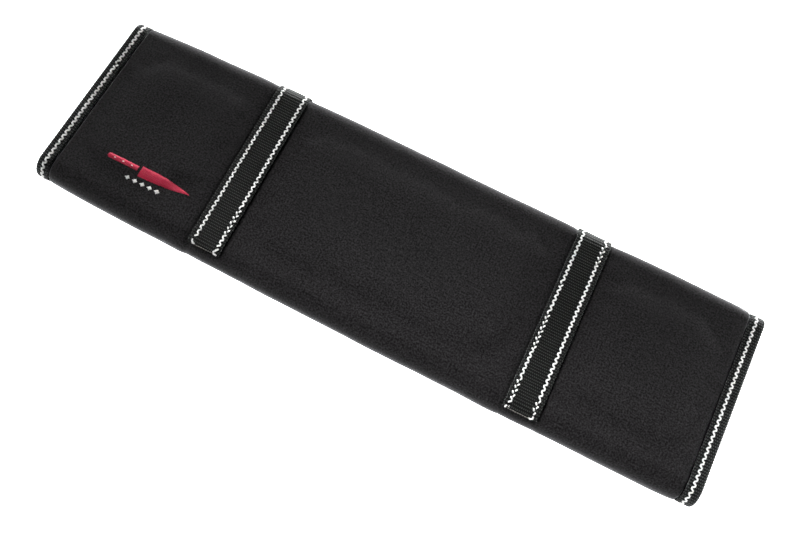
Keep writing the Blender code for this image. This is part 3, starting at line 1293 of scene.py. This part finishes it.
@dataclass(frozen=True)
class Binding:
    """Webbing folded over one short end of the sheet, sewn through with a zigzag."""

    shape: RollShape
    end: EndPlan
    tape: Tape
    seed: int
    fold_radius: float = 0.0019
    leg_steps: int = 8
    fold_steps: int = 4
    wave: float = 0.0004
    edge_drop: float = 0.00025
    lift: float = 0.00016
    seam_margin: float = 0.0015

    def outline(self) -> tuple[Array, Array]:
        """The U of the tape across the end.

        Returns:
            Distances from the roll's end and depths below the sheet's face, and the directions
            out of the tape.
        """
        radius, deep = self.fold_radius, self.shape.bound_thickness
        spots, outs = [], []
        for share in np.linspace(0, 1, self.leg_steps + 1)[:-1]:
            spots.append((self.end.binding + share * (radius - self.end.binding), 0))
            outs.append((0, -1))
        for middle, start in ((radius, 0), (deep - radius, math.pi / 2)):
            for angle in start + np.linspace(0, math.pi / 2, self.fold_steps + 1):
                spots.append((radius - radius * math.sin(angle), middle - radius * math.cos(angle)))
                outs.append((-math.sin(angle), -math.cos(angle)))
        for share in np.linspace(0, 1, self.leg_steps + 1)[1:]:
            spots.append((radius + share * (self.end.binding - radius), deep))
            outs.append((0, 1))
        return np.array(spots), np.array(outs)

    def middle_x(self) -> float:
        """Where the middle of the binding is along the roll."""
        return self.end.side * (self.shape.length - self.end.binding) / 2

    def build(self) -> Piece:
        """Folds the tape over the end and raises its ribs."""
        shape = self.shape
        spots, outs = self.outline()
        length = float(shape.runs_at(self.middle_x())[-1])
        runs = self.tape.rows(length)
        model, column, row = woven_grid(len(spots), len(runs))
        run = runs[row]
        height = self.tape.height(run)
        last = len(spots) - 1
        free = np.clip(1 - np.minimum(column, last - column) / self.leg_steps, 0, 1)
        drift = ripple(run, 0.0, size=0.03, seed=self.seed + 0.4)
        drift += 0.5 * ripple(run, 0.0, size=0.009, seed=self.seed + 0.9)
        edge = np.minimum(column, last - column) == 0
        height = height - np.where(edge, self.edge_drop, 0)
        lift = self.lift * ripple(run, column * 0.002, size=0.012, seed=self.seed + 2.2)
        from_end = spots[column, 0] + height * outs[column, 0] + self.wave * drift * free
        depth = spots[column, 1] + (height + lift * free) * outs[column, 1]
        x = self.end.side * (shape.length / 2 - from_end)
        points = shape.fold(x, shape.place_of(run, self.middle_x()), depth).points
        points = rested(points, shape.webbing_rest)
        for vertex, point in zip(model.verts, points):
            vertex.co = point
        across = np.concatenate([[0], np.cumsum(np.hypot(*np.diff(spots, axis=0).T))])
        measure(model, WebbingFinish.uv_name, across[column], run)
        if self.end.side < 0:
            bmesh.ops.reverse_faces(model, faces=model.faces[:])
        piece = make_piece(self.end.name + "_end_binding", model, Material.BINDING)
        wall = piece.modifiers.new("thickness", "SOLIDIFY")
        wall.thickness = shape.webbing
        wall.offset = -1
        return piece

    def guide(self, depth: float, outward: int) -> Guide:
        """The line that the zigzag follows.

        Args:
            depth: Depth of the tape's face below the sheet's face.
            outward: 1 for the outer face, -1 for the face inside the roll.

        Returns:
            The frame of the tape at each distance from the flap's edge.
        """
        x = self.end.side * (self.shape.length / 2 - self.end.seam_inset)

        def at(run: float) -> Matrix:
            spot = self.shape.fold(x, self.shape.place_of(run, x), depth)
            return cloth_frame(spot.points, outward * spot.outward, spot.along)

        return at

    def sew(self, stitch: Stitch) -> Piece:
        """Sews the zigzag through both faces of the binding."""
        seam = Seam(self.end.name + "_end_zigzag", Material.WHITE_THREAD, self.seed)
        length = float(self.shape.runs_at(self.middle_x())[-1])
        start, end = self.seam_margin, length - self.seam_margin
        seam.zigzag(stitch, self.guide(0, 1), start, end)
        seam.zigzag(stitch, self.guide(self.shape.bound_thickness, -1), start, end)
        return seam.finish(self.shape.thread_rest)


@dataclass(frozen=True)
class Strap:
    """One webbing strap, from its end near the front fold to its sewn end under the flap."""

    shape: RollShape
    plan: StrapPlan
    tape: Tape
    columns: int = 27
    crowding: float = 1.15
    selvage: float = 0.00022
    selvage_round: float = 0.0009
    hem_round: float = 0.0012
    hem_drop: float = 3
    rib_reach: float = 1.8
    seam_end: float = 0.002
    loop_sunk: float = -0.0003
    loop_rise: float = 0.00035
    hem_width: float = 0.00065
    hem_step: float = 0.0017
    hem_margins: tuple[float, float] = (0.0040, 0.0035)
    hem_reach: tuple[float, float] = (0.28, 0.44)
    hem_low: tuple[float, float] = (0.0004, -0.0001)
    hem_high: tuple[float, float] = (0.0005, 0.0001)
    hem_seed: int = 30

    def lines(self, across: Array) -> list[Array]:
        """The strap's lower face in the sections at distances from its middle."""
        middle = self.shape.strap_centre(self.plan)
        return [self.shape.strap_line(self.plan, middle + offset) for offset in across]

    def spot(self, line: Array, share: float | Array) -> Array:
        """The y, z and outward direction at a share of one section's length."""
        run = share * line[-1, 0]
        return np.stack([np.interp(run, line[:, 0], line[:, i]) for i in range(1, 5)], axis=-1)

    def build(self) -> Piece:
        """Lays the strap over the cover and raises its ribs."""
        shape, tape = self.shape, self.tape
        across = np.linspace(-1, 1, self.columns)
        across = np.sign(across) * (1 - (1 - np.abs(across)) ** self.crowding) * self.plan.width / 2
        lines = self.lines(across)
        length = lines[self.columns // 2][-1, 0]
        runs = tape.rows(length)
        shares = runs / length
        model, column, row = woven_grid(self.columns, len(runs))
        table = np.stack([self.spot(line, shares) for line in lines])
        y, z, out_y, out_z = np.moveaxis(table[column, row], -1, 0)
        run = runs[row]
        rib = tape.height(run)
        from_edge = self.plan.width / 2 - np.abs(across[column])
        rounded = self.selvage * fade(from_edge, self.selvage_round)
        from_hem = np.minimum(run, length - run)
        hemmed = self.selvage * self.hem_drop * fade(from_hem, self.hem_round)
        height = shape.strap_thickness + rib - rounded - hemmed
        x = shape.strap_centre(self.plan) + across[column]
        x = x + np.sign(across[column]) * np.where(from_edge < 1e-6, rib * self.rib_reach, 0)
        points = rested(shape.located(x, y + height * out_y, z + height * out_z), shape.webbing_rest)
        for vertex, point in zip(model.verts, points):
            vertex.co = point
        measure(model, WebbingFinish.uv_name, across[column] + self.plan.width / 2, run)
        inner = shape.located(x, y, z)
        thicken(model, inner - points)
        return make_piece(self.plan.name + "_webbing_strap", model, Material.STRAP)

    def guide(self, side: int, inset: float) -> Guide:
        """A line along the strap's upper face.

        Args:
            side: -1 for the left edge, 1 for the right edge.
            inset: Distance of the line from that edge.

        Returns:
            The frame of the strap at each distance from its end on the top.
        """
        offset = side * (self.plan.width / 2 - inset)
        x = self.shape.strap_centre(self.plan) + offset
        line = self.shape.strap_line(self.plan, x)

        def at(run: float) -> Matrix:
            y, z, out_y, out_z = self.spot(line, run / line[-1, 0])
            high = self.shape.strap_thickness
            point = self.shape.located(x, y + high * out_y, z + high * out_z)
            slope = float(self.shape.slope_at(x))
            return cloth_frame(point, (0, out_y, out_z), (out_z * slope, out_z, -out_y))

        return at

    def sew(self, stitch: Stitch) -> Piece:
        """Sews a zigzag along both edges of the strap, and ends each in its loops."""
        seam = Seam(self.plan.name + "_strap_zigzag", Material.WHITE_THREAD, self.plan.seed)
        length = float(self.lines(np.zeros(1))[0][-1, 0])
        guides = {side: self.guide(side, inset) for side, inset in zip((-1, 1), self.plan.insets)}
        for side, start, loose in zip((-1, 1), self.plan.seam_starts, self.plan.loose):
            seam.zigzag(stitch, guides[side], start, length - self.seam_end, loose)
        for side, loop in self.plan.loops:
            frame = guides[side](0.0)
            ease = [self.loop_sunk, *[self.loop_rise] * (len(loop) - 2), self.loop_sunk]
            spots = [(x, run, up) for (x, run), up in zip(loop, ease)]
            seam.strand(frame, spots, 1.15 * stitch.width, 1.1 * stitch.height)
        return seam.finish(self.shape.thread_rest)

    def hem(self) -> Piece:
        """Lays the grey thread that shows along the hemmed end."""
        seed = self.plan.seed + self.hem_seed
        seam = Seam(self.plan.name + "_strap_hem", Material.GREY_THREAD, seed)
        middle = self.plan.width / 2
        left, right = self.hem_margins
        frame = self.guide(-1, middle)(0.0)
        for x in np.arange(-middle + left, middle - right, self.hem_step):
            reach = seam.chance.uniform(*self.hem_reach) * self.hem_step
            spots = [(x - reach, *self.hem_low), (x, *self.hem_high), (x + reach, *self.hem_low)]
            seam.strand(frame, spots, self.hem_width, self.hem_width)
        return seam.finish(self.shape.thread_rest)


@dataclass(frozen=True)
class Motif:
    """A small kitchen knife in red satin stitch over a row of white diamonds."""

    shape: RollShape
    cover: Piece
    middle: tuple[float, float] = (-0.1704, -0.0344)
    thread: float = 0.00050
    spacing: float = 0.9
    half_length: float = 0.0310
    heel: float = -0.0062
    handle_end: float = -0.0082
    handle_half: float = 0.0018
    spine: float = 0.0030
    edge: float = -0.0047
    tip: float = -0.0008
    rivets: tuple[float, ...] = (-0.0260, -0.0195, -0.0130)
    rivet_half: float = 0.0005
    rivet_threads: tuple[float, ...] = (-0.0003, 0.0003)
    diamonds: int = 5
    diamond_step: float = 0.0056
    diamond_half: float = 0.0017
    row_drop: float = 0.0086

    def face(self) -> Face:
        """The frame of the cover at each place of the motif."""
        tree = BVHTree.FromObject(self.cover, bpy.context.evaluated_depsgraph_get())
        left, front = (mid + shift for mid, shift in zip(self.middle, self.shape.origin))

        def at(x: float, y: float) -> Matrix:
            high = Vector((left + x, front + y, 2 * self.shape.height))
            point, normal, _, _ = tree.ray_cast(high, Vector((0, 0, -1)))
            return cloth_frame(point, normal, (0, 1, 0))

        return at

    def knife(self) -> list[Triple]:
        """The threads of the knife: the x, the lowest y and the highest y of each."""
        lines = []
        for x in np.arange(-self.half_length, self.half_length, self.spacing * self.thread):
            share = (x - self.heel) / (self.half_length - self.heel)
            if share >= 0:
                low = self.edge + (self.tip - self.edge) * share**2.2
                high = self.spine + (self.tip - self.spine) * share**3.5
                lines.append((x, low, high))
            elif x < self.handle_end:
                end = min(1.0, (x + self.half_length) / self.handle_half + 0.15)
                half = self.handle_half * math.sqrt(1 - (1 - end) ** 2)
                lines.append((x, -half, half))
        return lines

    def sew(self) -> list[Piece]:
        """Sews the knife, its rivets and the diamonds."""
        face = self.face()
        red = Seam("red_embroidery", Material.RED_THREAD, 40)
        red.satin(face, self.knife(), self.thread)
        white = Seam("white_embroidery", Material.WHITE_THREAD, 41)
        for x in self.rivets:
            lines = [(x + shift, -self.rivet_half, self.rivet_half) for shift in self.rivet_threads]
            white.satin(face, lines, 1.3 * self.thread)
        first = -(self.diamonds - 1) / 2 * self.diamond_step
        for number in range(self.diamonds):
            centre = first + number * self.diamond_step
            lines = []
            past = self.diamond_half + 1e-6
            for x in np.arange(-self.diamond_half, past, self.spacing * self.thread):
                half = self.diamond_half - abs(x)
                lines.append((centre + x, -self.row_drop - half, -self.row_drop + half))
            white.satin(face, lines, self.thread)
        return [red.finish(0.0), white.finish(0.0)]


@dataclass(frozen=True)
class Camera:
    """The photograph's view of the roll. The target is measured from the middle of its plan."""

    shape: RollShape
    lens: float = 39.0145
    azimuth: float = math.radians(14.765)
    elevation: float = math.radians(71.055)
    roll: float = math.radians(12.31)
    distance: float = 0.582966
    target: Triple = (0.00610, -0.01038, 0.0110)

    def build(self) -> None:
        """Places the camera and makes it the scene's."""
        back = Vector(
            (
                math.sin(self.azimuth) * math.cos(self.elevation),
                -math.cos(self.azimuth) * math.cos(self.elevation),
                math.sin(self.elevation),
            )
        )
        level = Vector((math.cos(self.azimuth), math.sin(self.azimuth), 0))
        up = back.cross(level)
        right = level * math.cos(self.roll) + up * math.sin(self.roll)
        turned = Matrix((right, back.cross(right), back)).transposed().to_4x4()
        data = bpy.data.cameras.new("camera")
        data.sensor_fit = "HORIZONTAL"
        data.sensor_width = 36
        data.lens = self.lens
        data.clip_start = 0.01
        camera = into_scene("camera", data)
        target = Vector(self.target) + Vector((*self.shape.origin, 0))
        camera.matrix_world = Matrix.Translation(target + back * self.distance) @ turned
        bpy.context.scene.camera = camera


def hang(data: bpy.types.Light, place: Vector, target: Vector) -> None:
    """Hangs a light so that it shines at a target."""
    turned = (place - target).to_track_quat("Z", "Y").to_matrix().to_4x4()
    into_scene(data.name, data).matrix_world = Matrix.Translation(place) @ turned


def spot_lamp(name: str, power: float, radius: float, beam: float) -> bpy.types.Light:
    """A round lamp whose beam fades all the way to its edge."""
    lamp = bpy.data.lights.new(name, "SPOT")
    lamp.energy = power
    lamp.shadow_soft_size = radius
    lamp.spot_size = beam
    lamp.spot_blend = 1.0
    return lamp


@dataclass(frozen=True)
class Wall:
    """A long low reflector that shines at the roll."""

    name: str
    place: Triple
    size: tuple[float, float]
    radiance: float

    def build(self) -> None:
        """Sets the reflector up."""
        data = bpy.data.lights.new(self.name, "AREA")
        data.shape = "RECTANGLE"
        data.size, data.size_y = self.size
        data.energy = self.radiance * math.pi * self.size[0] * self.size[1]
        hang(data, Vector(self.place), Vector())


@dataclass(frozen=True)
class SoftBox:
    """The large soft light at the left: an even part, and rings of lamps that meet in one place.

    Both come from the same side, so their shadows are the same.
    """

    azimuth: float = math.radians(165)
    elevation: float = math.radians(35)
    width: float = math.radians(40)
    distance: float = 3.0
    target: Triple = (0.20, -0.24, 0.0)
    beam: float = math.radians(9.2)
    rings: int = 2
    even: float = 0.40
    middle: float = 2330.0

    def build(self) -> None:
        """Hangs both parts."""
        flat = math.cos(self.elevation)
        ahead, aside = math.cos(self.azimuth), math.sin(self.azimuth)
        heading = Vector((flat * ahead, flat * aside, math.sin(self.elevation)))
        target = Vector(self.target)
        even = bpy.data.lights.new("even_key", "SUN")
        even.energy = self.even
        even.angle = self.width
        hang(even, target + self.distance * heading, target)
        reach = self.distance * math.tan(self.width / 2)
        step = reach / (self.rings + 0.5)
        turned = heading.to_track_quat("Z", "Y").to_matrix()
        spots = [(0.0, 0.0)]
        for ring in range(1, self.rings + 1):
            turns = [TURN * i / (6 * ring) for i in range(6 * ring)]
            spots += [(ring * step * math.cos(turn), ring * step * math.sin(turn)) for turn in turns]
        for number, spot in enumerate(spots):
            lamp = spot_lamp(f"key_lamp_{number}", self.middle / len(spots), step / 2, self.beam)
            hang(lamp, target + self.distance * heading + turned @ Vector((*spot, 0)), target)


@dataclass(frozen=True)
class EdgeLamp:
    """A narrow lamp low beside the roll, which picks out one of its ends."""

    name: str
    place: Triple
    target: Triple
    power: float
    beam: float = math.radians(9.5)
    radius: float = 0.02

    def build(self) -> None:
        """Hangs the lamp."""
        lamp = spot_lamp(self.name, self.power, self.radius, self.beam)
        hang(lamp, Vector(self.place), Vector(self.target))


@dataclass(frozen=True)
class Studio:
    """Pale glowing floor, dim surroundings and soft lights."""

    floor_size: float = 3.0
    floor_z: float = -0.0004
    surroundings: float = 0.02
    key: SoftBox = SoftBox()
    edge: EdgeLamp = EdgeLamp("right_edge_lamp", (1.5, 0.0, 0.035), (0.245, 0.0, 0.01), 130.0)
    rear: Wall = Wall("rear_wall", (0.0, 1.3, 0.07), (2.2, 0.14), 82.0)

    def build(self) -> None:
        """Lays the floor and lights it."""
        model = bmesh.new()
        bmesh.ops.create_grid(model, x_segments=8, y_segments=8, size=self.floor_size)
        bmesh.ops.translate(model, vec=(0, 0, self.floor_z), verts=model.verts[:])
        mesh = bpy.data.meshes.new("floor")
        model.to_mesh(mesh)
        model.free()
        mesh.materials.append(FloorFinish().material())
        floor = into_scene("floor", mesh)
        world = bpy.data.worlds.new("surroundings")
        world.use_nodes = True
        background = world.node_tree.nodes["Background"]
        background.inputs["Color"].default_value = (1, 1, 1, 1)
        background.inputs["Strength"].default_value = self.surroundings
        bpy.context.scene.world = world
        for light in (self.key, self.edge, self.rear):
            light.build()
        bpy.context.scene.view_settings.view_transform = "Standard"


def report(piece: Piece) -> None:
    """Logs a piece's name and the number of its faces."""
    log.info("%s: %d faces", piece.name, len(piece.data.polygons))


def main() -> None:
    """Builds the roll and its studio."""
    logging.basicConfig(level=logging.INFO, format="%(message)s")
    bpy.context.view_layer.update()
    shape = RollShape()
    tape = Tape()
    zigzag = Stitch(step=0.00194, swing=0.00078)
    Camera(shape).build()
    Studio().build()

    cover = CoverSheet(shape).build()
    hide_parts("roll_cover")
    motif = Motif(shape, cover).sew()
    for each in (cover, *motif):
        report(each)

    for seed, end in enumerate(shape.ends):
        binding = Binding(shape, end, tape, seed)
        piece, seam = binding.build(), binding.sew(replace(zigzag, swing=end.swing, width=end.thread))
        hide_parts(end.name + "_binding")
        for each in (piece, seam):
            report(each)

    for plan in shape.straps:
        strap = Strap(shape, plan, tape)
        piece, seam, hem = strap.build(), strap.sew(zigzag), strap.hem()
        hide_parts(plan.name + "_strap")
        for each in (piece, seam, hem):
            report(each)


if __name__ == "__main__":
    main()
